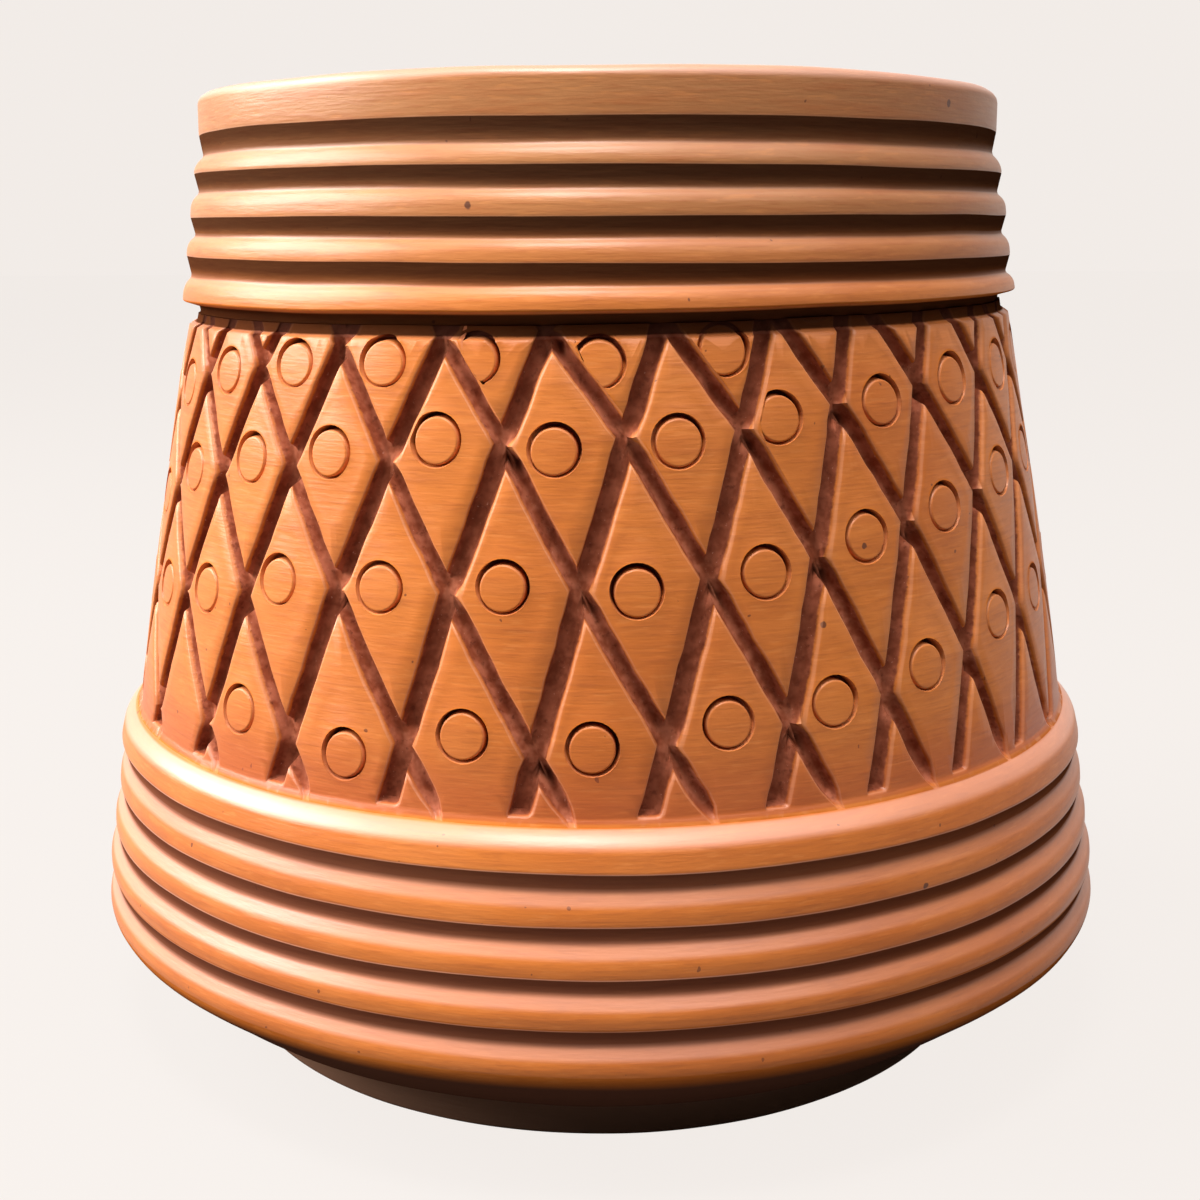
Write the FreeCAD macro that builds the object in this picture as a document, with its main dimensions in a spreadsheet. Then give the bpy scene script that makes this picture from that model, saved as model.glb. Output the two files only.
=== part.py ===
import FreeCAD, Part
import os
import Sketcher

# A round terracotta pot for holy basil, made the way a potter builds it: a foot ring, a ringed base,
# a carved wall and a rim collar are thrown one by one, then luted together in half laps.
# The pot stands upright, +Z up, with the origin at the centre of the foot's resting face.
# Lengths are in millimetres and angles in degrees. Angles run round the pot from +X towards +Y.

SIZES = (
    # The foot ring
    ("foot_radius", 94.0, "foot ring, outside"),
    ("foot_width", 12.5, "foot ring, from inside to outside"),
    ("foot_height", 15.0, "height that the foot lifts the base"),
    ("foot_seat_depth", 2.0, "turned seat in the base that the foot enters"),
    # The ringed base
    ("base_height", 63.0, "from the base's underside to the seam with the wall"),
    ("widest_radius", 125.0, "crest of the lowest and widest ring"),
    ("base_spread", 6.0, "how much wider the lowest ring is than the top one"),
    ("base_ledge", 2.7, "how far the top ring stands out from the wall's foot"),
    ("base_groove_depth", 2.0, "grooves between the base's rings"),
    ("floor_thickness", 13.0, "floor of the pot"),
    ("drain_radius", 11.0, "drain hole in the floor"),
    # The carved wall
    ("wall_height", 94.0, "from the seam with the base to the seam with the collar"),
    ("wall_thickness", 11.0, "wall at its foot"),
    ("lap_height", 9.0, "height of the half laps below and above the wall"),
    ("cut_depth", 3.0, "carved grooves"),
    ("cut_foot", 3.4, "lower end of the carved grooves, over the wall's foot"),
    ("cut_overrun", 1.5, "how far a cutter stands outside what it cuts"),
    ("steep_cut_width", 6.0, "steep grooves, measured level"),
    ("steep_start", 3.8, "place round the pot of a steep groove's lower end"),
    ("steep_turn", 16.9, "angle round the pot that a steep groove covers"),
    ("steep_cuts", 28, "number of steep grooves"),
    ("slanted_cut_width", 6.6, "slanted grooves, measured level"),
    ("slanted_start", 3.4, "place round the pot of a slanted groove's lower end"),
    ("slanted_turn", -29.4, "angle that a slanted groove covers, leaning the other way"),
    ("slanted_cuts", 26, "number of slanted grooves"),
    # The rim collar
    ("collar_height", 48.0, "from the seam with the wall to the rim"),
    ("rim_radius", 93.8, "plain band of the rim"),
    ("rim_band_height", 11.5, "from the highest groove to the rim"),
    ("rim_thickness", 9.8, "collar at the rim"),
    ("rim_bevel", 3.0, "softened outer edge of the rim"),
    ("collar_spread", 5.7, "how much wider the collar's lowest ring is than the rim"),
    ("collar_overhang", 1.5, "how far that ring stands out from the wall"),
    ("collar_groove_depth", 2.4, "grooves between the collar's rings"),
    # The laps
    ("slip_gap", 0.3, "room for clay slip at the sides and end of a lap"),
)

# Places of the turned grooves, as shares of their height, and of the crests above them,
# as shares of the way from the lowest crest to the highest.
BASE_GROOVE_SHARES = (0.37, 0.52, 0.69, 0.85)
BASE_CREST_SHARES = (0.13, 0.42, 0.70, 1.0)
COLLAR_GROOVE_SHARES = (0.27, 0.52, 0.775, 1.0)
COLLAR_CREST_SHARES = (0.25, 0.50, 0.75, 1.0)
# A ring's overhanging lip and its sloping top, as shares of the mean distance between grooves.
LIP_SHARE = 0.17
SLOPE_SHARE = 0.45
# The belly below the lowest groove, and the ledge above the highest.
EDGE_SHARE = 0.46
BELLY_OUT_SHARE = 0.80
BELLY_UP_SHARE = 0.48
WIDEST_SHARE = 0.72
LEDGE_SHARE = 0.66
# The part of the wall's thickness that the inner half of a lap takes.
LAP_SHARE = 0.5

STEEP_STEPS = 2
SLANTED_STEPS = 3
FULL_TURN = 360

doc = FreeCAD.newDocument("pot")


class Size:
    """A value worked out from the sheet: text is its expression, value its number."""

    def __init__(self, text, value):
        self.text = text
        self.value = float(value)

    def __add__(self, other):
        other = as_size(other)
        return Size(f"({self.text} + {other.text})", self.value + other.value)

    def __sub__(self, other):
        other = as_size(other)
        return Size(f"({self.text} - {other.text})", self.value - other.value)

    def __mul__(self, other):
        other = as_size(other)
        return Size(f"({self.text} * {other.text})", self.value * other.value)

    def __truediv__(self, other):
        other = as_size(other)
        return Size(f"({self.text} / {other.text})", self.value / other.value)

    def __neg__(self):
        return Size(f"(-{self.text})", -self.value)


def as_size(item):
    """A zero, a count or a share joins an expression as it is."""
    return item if isinstance(item, Size) else Size(repr(item), item)


def make_sheet():
    """Write the sizes to the sheet, and return each one under its own name."""
    sheet = doc.addObject("Spreadsheet::Sheet", "Sizes")
    named = {}
    for row, (name, value, meaning) in enumerate(SIZES, start=1):
        sheet.set(f"A{row}", name)
        sheet.set(f"B{row}", str(value))
        sheet.set(f"C{row}", meaning)
        sheet.setAlias(f"B{row}", name)
        named[name] = Size(f"Sizes.{name}", value)
    doc.recompute()
    return named


def between(low, high, share):
    """The size that lies a share of the way from low to high."""
    return low + (high - low) * share


size = make_sheet()

# Levels and radii that more than one piece uses.
base_level = size["foot_height"]
wall_level = base_level + size["base_height"]
collar_level = wall_level + size["wall_height"]
base_top_radius = size["widest_radius"] - size["base_spread"]
wall_foot_radius = base_top_radius - size["base_ledge"]
collar_foot_radius = size["rim_radius"] + size["collar_spread"]
wall_top_radius = collar_foot_radius - size["collar_overhang"]
inside_low_radius = wall_foot_radius - size["wall_thickness"]
inside_top_radius = size["rim_radius"] - size["rim_thickness"]
low_lap_radius = between(inside_low_radius, wall_foot_radius, LAP_SHARE)
top_lap_radius = between(inside_top_radius, wall_top_radius, LAP_SHARE)
socket_depth = size["lap_height"] + size["slip_gap"]


def origin_item(body, role):
    """One of the body's own origin planes or axes."""
    return [item for item in body.Origin.OriginFeatures if item.Role == role][0]


def new_body(name, level):
    """A body for one piece, lifted to its level in the pot."""
    body = doc.addObject("PartDesign::Body", name)
    body.Label = name
    body.setExpression("Placement.Base.z", as_size(level).text)
    return body


def outline(body, name, role, points):
    """A closed sketch through points, each held at its two distances from the origin."""
    sketch = body.newObject("Sketcher::SketchObject", name)
    sketch.AttachmentSupport = (origin_item(body, role), [""])
    sketch.MapMode = "FlatFace"
    points = [(as_size(across), as_size(up)) for across, up in points]
    corners = [FreeCAD.Vector(across.value, up.value, 0) for across, up in points]
    for start, end in zip(corners, corners[1:] + corners[:1]):
        sketch.addGeometry(Part.LineSegment(start, end))
    for index in range(len(points)):
        follower = (index + 1) % len(points)
        sketch.addConstraint(Sketcher.Constraint("Coincident", index, 2, follower, 1))
    for index, (across, up) in enumerate(points):
        for kind, distance in (("DistanceX", across), ("DistanceY", up)):
            held = Sketcher.Constraint(kind, -1, 1, index, 1, distance.value)
            number = sketch.addConstraint(held)
            sketch.setExpression(f"Constraints[{number}]", distance.text)
    return sketch


def turn_up(body, points):
    """Turn a section about the pot's axis, as on the wheel."""
    section = outline(body, "Section", "XZ_Plane", points)
    turned = body.newObject("PartDesign::Revolution", "Turned")
    turned.Profile = section
    turned.ReferenceAxis = (section, ["V_Axis"])
    turned.Angle = FULL_TURN


def ring_points(height, shares, depth, low_crest, high_crest, crest_shares):
    """Turned rings: for each groove the slope down into it, its bottom and the lip above it."""
    pitch = height * ((shares[-1] - shares[0]) / (len(shares) - 1))
    points = []
    crest = low_crest
    for groove_share, crest_share in zip(shares, crest_shares):
        next_crest = between(low_crest, high_crest, crest_share)
        groove_height = height * groove_share
        points += [
            (crest, groove_height - pitch * SLOPE_SHARE),
            ((crest + next_crest) / 2 - depth, groove_height),
            (next_crest, groove_height + pitch * LIP_SHARE),
        ]
        crest = next_crest
    return points


def foot_ring():
    """A plain turned ring. Its top stands in the seat under the base."""
    body = new_body("foot_ring", 0)
    top = size["foot_height"] + size["foot_seat_depth"]
    inside = size["foot_radius"] - size["foot_width"]
    turn_up(body, [
        (inside, 0),
        (size["foot_radius"], 0),
        (size["foot_radius"], top),
        (inside, top),
    ])
    return body


def base_outside():
    """The belly, five turned rings and the ledge, from the underside up to the seam."""
    widest = size["widest_radius"]
    seam = size["base_height"]
    edge = between(size["foot_radius"], widest, EDGE_SHARE)
    lowest_groove = seam * BASE_GROOVE_SHARES[0]
    highest_groove = seam * BASE_GROOVE_SHARES[-1]
    belly = [
        (edge, 0),
        (between(edge, widest, BELLY_OUT_SHARE), lowest_groove * BELLY_UP_SHARE),
        (widest, lowest_groove * WIDEST_SHARE),
    ]
    rings = ring_points(seam, BASE_GROOVE_SHARES, size["base_groove_depth"],
                        widest, base_top_radius, BASE_CREST_SHARES)
    ledge = [
        (base_top_radius, between(highest_groove, seam, LEDGE_SHARE)),
        (wall_foot_radius, seam),
    ]
    return belly + rings + ledge


def ringed_base():
    """The floor with its drain hole, and the ringed lower wall with a socket for the wall's lap."""
    body = new_body("ringed_base", base_level)
    seam = size["base_height"]
    socket_radius = low_lap_radius + size["slip_gap"]
    seat_radius = size["foot_radius"] + size["slip_gap"]
    turn_up(body, base_outside() + [
        (socket_radius, seam),
        (socket_radius, seam - socket_depth),
        (inside_low_radius, seam - socket_depth),
        (inside_low_radius, size["floor_thickness"]),
        (size["drain_radius"], size["floor_thickness"]),
        (size["drain_radius"], size["foot_seat_depth"]),
        (seat_radius, size["foot_seat_depth"]),
        (seat_radius, 0),
    ])
    return body


def cut_section(body, name, height, turn, level_width):
    """One section of a groove's cutter: a V across the wall, open to the outside."""
    surface = between(wall_foot_radius, wall_top_radius, height / size["wall_height"])
    spread = (size["cut_depth"] + size["cut_overrun"]) / size["cut_depth"]
    half_mouth = level_width * spread / 2
    mouth = surface + size["cut_overrun"]
    sketch = outline(body, name, "XY_Plane", [
        (surface - size["cut_depth"], 0),
        (mouth, -half_mouth),
        (mouth, half_mouth),
    ])
    sketch.setExpression("AttachmentOffset.Base.z", height.text)
    sketch.setExpression("AttachmentOffset.Rotation.Angle", turn.text)
    return sketch


def carve(body, kind, steps):
    """Cut one groove up the wall as a loft through its sections, and repeat it round the pot."""
    end = size["wall_height"] + size["cut_overrun"]
    sections = []
    for step in range(steps + 1):
        share = step / steps
        height = between(size["cut_foot"], end, share)
        turn = size[f"{kind}_start"] + size[f"{kind}_turn"] * share
        name = f"{kind}_section_{step}"
        sections.append(cut_section(body, name, height, turn, size[f"{kind}_cut_width"]))
    groove = body.newObject("PartDesign::SubtractiveLoft", f"{kind}_groove")
    groove.Profile = sections[0]
    groove.Sections = sections[1:]
    groove.Ruled = True
    groove.Refine = False
    pattern = body.newObject("PartDesign::PolarPattern", f"{kind}_grooves")
    pattern.Originals = [groove]
    pattern.Axis = (origin_item(body, "Z_Axis"), [""])
    pattern.Angle = FULL_TURN
    pattern.setExpression("Occurrences", size[f"{kind}_cuts"].text)
    pattern.Refine = False
    body.Tip = pattern


def carved_wall():
    """The leaning wall, carved with two families of grooves that cross into lozenges."""
    body = new_body("carved_wall", wall_level)
    seam = size["wall_height"]
    lap = size["lap_height"]
    turn_up(body, [
        (inside_low_radius, -lap),
        (low_lap_radius, -lap),
        (low_lap_radius, 0),
        (wall_foot_radius, 0),
        (wall_top_radius, seam),
        (top_lap_radius, seam),
        (top_lap_radius, seam + lap),
        (inside_top_radius, seam + lap),
    ])
    carve(body, "steep", STEEP_STEPS)
    carve(body, "slanted", SLANTED_STEPS)
    return body


def rim_collar():
    """The collar: four turned rings, the plain band of the rim, and a socket for the wall's lap."""
    body = new_body("rim_collar", collar_level)
    top = size["collar_height"]
    ringed_height = top - size["rim_band_height"]
    lip = ringed_height * (LIP_SHARE / len(COLLAR_GROOVE_SHARES))
    socket_radius = top_lap_radius + size["slip_gap"]
    rings = ring_points(ringed_height, COLLAR_GROOVE_SHARES, size["collar_groove_depth"],
                        collar_foot_radius, size["rim_radius"], COLLAR_CREST_SHARES)
    turn_up(body, [
        (socket_radius, 0),
        (wall_top_radius, 0),
        (collar_foot_radius, lip),
    ] + rings + [
        (size["rim_radius"], top - size["rim_bevel"]),
        (size["rim_radius"] - size["rim_bevel"], top),
        (inside_top_radius, top),
        (inside_top_radius, socket_depth),
        (socket_radius, socket_depth),
    ])
    return body


def check(bodies):
    """Stop if an object of the document failed, or a piece has no sound shape."""
    for item in doc.Objects:
        if "Invalid" in item.State or "Error" in item.State:
            raise RuntimeError(f"{item.Name} did not build: {item.State}")
    for body in bodies:
        if body.Shape.isNull() or not body.Shape.isValid():
            raise RuntimeError(f"{body.Label} has no sound shape")


def main():
    bodies = [foot_ring(), ringed_base(), carved_wall(), rim_collar()]
    doc.recompute()
    check(bodies)
    os.makedirs("parts", exist_ok=True)
    for body in bodies:
        shape = body.Shape
        shape.exportStep(os.path.join("parts", body.Label + ".step"))
        box = shape.BoundBox
        print(f"{body.Label}: {len(shape.Solids)} solid of {len(shape.Faces)} faces,"
              f" volume {shape.Volume:.0f}, from {box.ZMin:.2f} up to {box.ZMax:.2f}")


main()
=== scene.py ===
# %% [markdown]
# A clay pot for holy basil
#
# This lesson dresses a terracotta pot. The pot's solids come packed from its construction files,
# and each one is replaced here by a fuller piece: thrown sections with soft turned rings, and a
# wall carved by hand in crossed grooves, with a ring stamped in the lozenges between them.
# Shapes are worked out in millimetres, because that is how a potter would talk about them, and each
# finished piece is brought to metres at the end.

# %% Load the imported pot
import math
import random
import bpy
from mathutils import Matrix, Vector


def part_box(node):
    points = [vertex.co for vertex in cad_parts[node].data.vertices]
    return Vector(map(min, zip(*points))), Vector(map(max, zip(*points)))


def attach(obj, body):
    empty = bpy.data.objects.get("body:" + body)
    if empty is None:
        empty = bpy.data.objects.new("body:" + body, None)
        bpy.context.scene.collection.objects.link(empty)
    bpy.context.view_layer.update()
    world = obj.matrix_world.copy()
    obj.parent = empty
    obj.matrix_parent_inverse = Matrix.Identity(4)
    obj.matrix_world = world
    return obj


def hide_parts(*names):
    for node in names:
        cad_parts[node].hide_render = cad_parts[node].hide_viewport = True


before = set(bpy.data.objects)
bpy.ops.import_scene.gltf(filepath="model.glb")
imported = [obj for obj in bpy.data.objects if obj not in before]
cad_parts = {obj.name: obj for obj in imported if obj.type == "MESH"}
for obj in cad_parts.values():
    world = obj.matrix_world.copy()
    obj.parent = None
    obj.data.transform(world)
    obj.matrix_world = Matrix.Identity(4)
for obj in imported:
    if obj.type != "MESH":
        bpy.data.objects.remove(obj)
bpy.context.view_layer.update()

from types import SimpleNamespace

import bmesh
import bpy
from mathutils import Matrix, Vector, geometry, noise
from mathutils.kdtree import KDTree

for node in sorted(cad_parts):
    low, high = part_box(node)
    print(f"{node}: {low.z * 1000:.1f} to {high.z * 1000:.1f} mm up")

# %% [markdown]
# The camera comes first, so that every later step can be judged from the same place. It stands
# close to the pot, a little lower than its rim, and looks slightly down. Being this close is what
# makes the rings below bow downwards and those at the top lie almost level.

# %% Set up the camera
CAMERA_AWAY = 0.4149
CAMERA_UP = 0.1911
CAMERA_DOWNWARD = math.radians(12.85)
CAMERA_ROLL = math.radians(-0.25)
CAMERA_LENS = 49.77

scene = bpy.context.scene
camera = bpy.data.objects.new("camera", bpy.data.cameras.new("camera"))
camera.data.lens = CAMERA_LENS
camera.data.sensor_width = 36
camera.data.clip_start = 0.01
scene.collection.objects.link(camera)
look = Matrix.Rotation(math.pi / 2 - CAMERA_DOWNWARD, 4, "X") @ Matrix.Rotation(CAMERA_ROLL, 4, "Z")
camera.matrix_world = Matrix.Translation((0, -CAMERA_AWAY, CAMERA_UP)) @ look
scene.camera = camera
print(f"camera {CAMERA_AWAY * 1000:.0f} mm in front and {CAMERA_UP * 1000:.0f} mm up")

# %% [markdown]
# Nothing on a thrown pot is truly round or level. Every piece is therefore first made exactly, and
# then each of its points goes through one function that tilts, lifts and dents it a little, as
# hands and a slightly loose wheel would. Neighbouring pieces share that function, so they still
# meet at their seams. It moves points up, down or towards the pot's axis, but never away from the
# axis or above the rim, which keeps the pot inside the box of its solids.

# %% Make it look made by hand
hand = random.Random(28)

# Heights, and how much higher a turned line at that height runs at the pot's right side than at
# its middle, in millimetres.
LINE_TILTS = ((0, 0), (15, 0), (38, -0.2), (68, -0.4), (82, -0.2), (160, 0), (172, 1.2),
              (177, 0.6), (182, -0.3), (191, 0.0), (200, -0.5), (209, 0.1), (220, -0.2))
# How far the rim dips, in millimetres, at places round it in degrees from the front.
RIM_DIPS = ((-180, 0.9), (-130, 0.4), (-77, 0.5), (-42, 0.7), (-25, 0.5), (-12, 0.3), (2, 0.4),
            (12, 0.2), (26, 0), (42, 0), (90, 0.7), (140, 1.4), (180, 0.9))
RIM_TOP = 220
RIM_DIP_STARTS = 211
# Below this height the turned lines get more and more level, because the pot stands flat.
LEVEL_BELOW = 20
# How far apart dents lie and how deep they go, for slow ones and for quick ones.
SLOW_DENTS = 55
SLOW_DEPTH = 0.35
QUICK_DENTS = 14
QUICK_DEPTH = 0.16
# How far apart the waves of the turned lines lie, round the pot and up it, and how high they are.
WAVES_ROUND = 30
WAVES_UP = 9
WAVE_HEIGHT = 0.25


def along(table, place):
    """Read a table of (place, value) pairs at any place, in straight runs between its entries."""
    for (start, low), (end, high) in zip(table, table[1:]):
        if place <= end:
            return low + (high - low) * max(0, place - start) / (end - start)
    return table[-1][1]


def eased(low, high, place):
    """Go smoothly from 0 at low to 1 at high."""
    share = min(1, max(0, (place - low) / (high - low)))
    return share * share * (3 - 2 * share)


def by_hand(point):
    """Where a point of the exact pot ends up on the hand-made one, in millimetres."""
    radius = math.hypot(point.x, point.y)
    if radius < 1:
        return point
    side = math.atan2(point.x, -point.y)
    slow = noise.noise(point / SLOW_DENTS)
    quick = noise.noise(point / QUICK_DENTS + Vector((7, 3, 1)))
    inward = SLOW_DEPTH * (slow + 1) * 0.5 + QUICK_DEPTH * (quick + 1) * 0.5
    wave = Vector((point.x / WAVES_ROUND, point.y / WAVES_ROUND, point.z / WAVES_UP))
    lift = along(LINE_TILTS, point.z) * math.sin(side)
    lift += WAVE_HEIGHT * noise.noise(wave)
    lift *= eased(0, LEVEL_BELOW, point.z)
    lift -= along(RIM_DIPS, math.degrees(side)) * eased(RIM_DIP_STARTS, RIM_TOP, point.z)
    lift = min(lift, RIM_TOP - point.z)
    scale = (radius - inward) / radius
    return Vector((point.x * scale, point.y * scale, point.z + lift))


print(f"the rim dips by up to {max(dip for _, dip in RIM_DIPS)} mm")

# %% [markdown]
# Three of the four sections are plain turned shapes. In Blender such a shape is a closed outline
# spun about the pot's axis. The outline is drawn with sharp corners, and a bevel on its vertices
# rounds each corner by its own amount before the spin. Beveling a line of vertices is much quicker
# than beveling the finished mesh, and gives the same soft edges.
#
# Each point also remembers three things that the clay's colour follows later: how far into a
# turned groove it lies, whether it faces into the pot, and whether it faces down. The attributes
# are called turned, inside and under.

# %% A wheel to turn sections on
MM = 0.001
TURN_STEPS = 240
ROUNDING_SEGMENTS = 4
# Points nearer to each other than this are one point.
MERGE = 0.001
# A point faces in, or down, when its normal's share outwards, or upwards, is less than this.
FACES_IN = -0.35
FACES_DOWN = -0.15
SHARP_FROM = math.radians(62)
# How far into a groove its deepest line and the edge of its lip count as lying, from 0 to 1, and
# the share of the groove's height at which the lip starts.
AT_DEEPEST = 0.7
AT_LIP = 0.1
LIP_STARTS = 0.93


def turned(outline):
    """Spin a closed outline of (radius, height, rounding) about the pot's axis."""
    bm = bmesh.new()
    corners = [bm.verts.new((radius, 0, height)) for radius, height, _ in outline]
    for corner, following in zip(corners, corners[1:] + corners[:1]):
        bm.edges.new((corner, following))
    for corner, (_, _, rounding) in zip(corners, outline):
        if rounding:
            bmesh.ops.bevel(bm, geom=[corner], offset=rounding, segments=ROUNDING_SEGMENTS,
                            profile=0.5, affect="VERTICES", material=-1)
    bmesh.ops.spin(bm, geom=bm.verts[:] + bm.edges[:], axis=(0, 0, 1), cent=(0, 0, 0),
                   angle=math.tau, steps=TURN_STEPS, use_merge=True)
    return bm


def note_cuts(bm, grooves, slope):
    """Store at each point how far it lies in a groove: from 0 on a crest to 1 under a lip."""
    layer = bm.verts.layers.float.new("turned")
    profile = ((0, 0), (slope, AT_DEEPEST), (LIP_STARTS, 1), (1, AT_LIP))
    for vert in bm.verts:
        for _, top_of_crest, _, lip in grooves:
            share = (vert.co.z - top_of_crest) / (lip - top_of_crest)
            if 0 < share < 1:
                vert[layer] = along(profile, share)


def fired(bm, name, node):
    """Finish a section: mark what faces in or down, shape it by hand, and replace its solid."""
    bmesh.ops.remove_doubles(bm, verts=bm.verts, dist=MERGE)
    bmesh.ops.recalc_face_normals(bm, faces=bm.faces)
    bm.normal_update()
    inside = bm.verts.layers.float.new("inside")
    under = bm.verts.layers.float.new("under")
    for vert in bm.verts:
        outward = Vector((vert.co.x, vert.co.y, 0)).normalized()
        vert[inside] = 1 if vert.normal.dot(outward) < FACES_IN else 0
        vert[under] = 1 if vert.normal.z < FACES_DOWN else 0
    for vert in bm.verts:
        vert.co = by_hand(vert.co)
    bmesh.ops.scale(bm, vec=(MM, MM, MM), verts=bm.verts)
    mesh = bpy.data.meshes.new(name)
    bm.to_mesh(mesh)
    bm.free()
    mesh.shade_smooth()
    mesh.set_sharp_from_angle(angle=SHARP_FROM)
    piece = bpy.data.objects.new(name, mesh)
    scene.collection.objects.link(piece)
    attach(piece, "root")
    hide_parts(node)
    mesh.calc_loop_triangles()
    print(f"{name}: {len(mesh.loop_triangles)} triangles")
    return piece


# %% [markdown]
# The sections stand in one another: the foot in a seat turned in the base, and the wall's half laps
# in sockets of the base and the collar. Neighbours share the sizes of these places, and every seat
# and socket leaves a little room for the slip that joins them.

# %% Sizes that neighbours share
ROOM = 0.3
FOOT_OUTSIDE = 94.0
FOOT_TOP = 17
# The heights between which the wall shows, and those that its half laps reach.
WALL_LOW = 78
WALL_HIGH = 172
LAP_LOW = 69
LAP_HIGH = 181
# The outside radius of the half laps, and the radius of the pot's inside at their ends.
LOW_LAP = 110.8
TOP_LAP = 91.0
INSIDE_LOW = 105.3
INSIDE_TOP = 84.0
print(f"the wall shows from {WALL_LOW} to {WALL_HIGH} mm up")

# %% [markdown]
# The foot is a plain ring. It lifts the pot off the ground, so that the drain hole can work, and
# hardly shows under the belly. Its top stands in a seat turned in the base.

# %% Turn the foot ring
FOOT_INSIDE = 81.5
foot = fired(turned([
    (FOOT_INSIDE, 0, 0.8),
    (FOOT_OUTSIDE, 0, 1.2),
    (FOOT_OUTSIDE, FOOT_TOP, 0.3),
    (FOOT_INSIDE, FOOT_TOP, 0.3),
]), "foot", "foot_ring")

# %% [markdown]
# The base is a low bowl. Outside it has a belly that rolls under, five rings, and a ledge for the
# wall. A potter cuts such rings with the corner of a rib held still against the turning clay.
# Each groove starts under the lip of the ring above, runs in and down to its deepest line, and
# turns out again in a soft slope to the crest of the ring below. One function writes that shape
# for both ringed sections.

# %% Turn the ringed base
BOTTOM_ROUNDING = 0.7
LIP_SOFTNESS = 0.35


def groove(below, top_of_crest, above, lip, depth, softness, slope):
    """The outline of one groove, from the crest below it up to the lip of the crest above."""
    bottom = below + (above - below) * slope - depth
    return [
        (below, top_of_crest, softness),
        (bottom, top_of_crest + (lip - top_of_crest) * slope, BOTTOM_ROUNDING),
        (above, lip, softness * LIP_SOFTNESS),
    ]


# For each groove, the radius and height where the ring below it ends, and then those of the lip
# above it.
BASE_GROOVES = ((125.0, 32.9, 124.2, 40.1), (124.2, 42.9, 122.6, 49.9),
                (122.4, 52.7, 120.9, 59.9), (120.6, 62.7, 119.9, 70.3))
BASE_GROOVE_DEPTH = 1.6
BASE_SOFTNESS = 1.3
BASE_SLOPE = 0.48
UNDERSIDE = 15
FLOOR_TOP = 28
DRAIN_RADIUS = 11
BELLY = [(108.3, UNDERSIDE, 1.5), (112.4, 18.2, 2), (117.4, 22.4, 2), (121.6, 25.8, 1.6),
         (124.2, 28.3, 1.2), (125.0, 30.4, 0.9)]
LEDGE = [(118.8, 74.6, 0.9), (115.75, WALL_LOW, 0)]
base_rings = [point for places in BASE_GROOVES
              for point in groove(*places, BASE_GROOVE_DEPTH, BASE_SOFTNESS, BASE_SLOPE)]
base_outline = BELLY + base_rings + LEDGE + [
    (LOW_LAP + ROOM, WALL_LOW, 0),
    (LOW_LAP + ROOM, LAP_LOW - ROOM, 0),
    (INSIDE_LOW, LAP_LOW - ROOM, 0.5),
    (INSIDE_LOW, FLOOR_TOP, 6),
    (DRAIN_RADIUS, FLOOR_TOP, 2),
    (DRAIN_RADIUS, FOOT_TOP, 1),
    (FOOT_OUTSIDE + ROOM, FOOT_TOP, 0),
    (FOOT_OUTSIDE + ROOM, UNDERSIDE, 0.6),
]
base_bm = turned(base_outline)
note_cuts(base_bm, BASE_GROOVES, BASE_SLOPE)
base = fired(base_bm, "base", "ringed_base")

# %% [markdown]
# The collar is turned in the same way, with four rings and the plain band of the rim. The rim's
# edges are rounded generously, because they are smoothed with a wet sponge or a strip of leather.
# The undercut over the wall takes the painted shade of a groove, so it is noted as one. Only its two
# heights count for that.

# %% Turn the rim collar
COLLAR_GROOVES = ((99.2, 177.6, 98.2, 183.8), (97.8, 186.5, 96.9, 192.5),
                  (96.5, 195.7, 95.5, 202.0), (95.1, 203.9, 93.9, 210.9))
COLLAR_GROOVE_DEPTH = 1.7
COLLAR_SOFTNESS = 1.3
COLLAR_SLOPE = 0.28
UNDERCUT_LOW = 168
UNDERCUT_LIP = 174.7
UNDERCUT = (0, UNDERCUT_LOW, 0, UNDERCUT_LIP)
COLLAR_FOOT = [(95.7, WALL_HIGH, 0.2), (95.9, 173.6, 0.5), (99.7, UNDERCUT_LIP, 0.4)]
collar_rings = [point for places in COLLAR_GROOVES
                for point in groove(*places, COLLAR_GROOVE_DEPTH, COLLAR_SOFTNESS, COLLAR_SLOPE)]
collar_bm = turned(COLLAR_FOOT + collar_rings + [
    (93.8, RIM_TOP, 2.4),
    (INSIDE_TOP, RIM_TOP, 3.4),
    (INSIDE_TOP, LAP_HIGH + ROOM, 0),
    (TOP_LAP + ROOM, LAP_HIGH + ROOM, 0),
    (TOP_LAP + ROOM, WALL_HIGH, 0),
])
note_cuts(collar_bm, (UNDERCUT,) + COLLAR_GROOVES, COLLAR_SLOPE)
collar = fired(collar_bm, "collar", "rim_collar")

# %% [markdown]
# The wall carries two families of grooves, cut freehand: 28 steep ones, and then 26 slanted the
# other way across them. Freehand lines are neither straight nor evenly spaced. So each line is
# held by its places round the pot at five heights, in degrees from the front. The lines at the
# front follow the real pot, and those at the back are spaced between them with a little chance.

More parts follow.
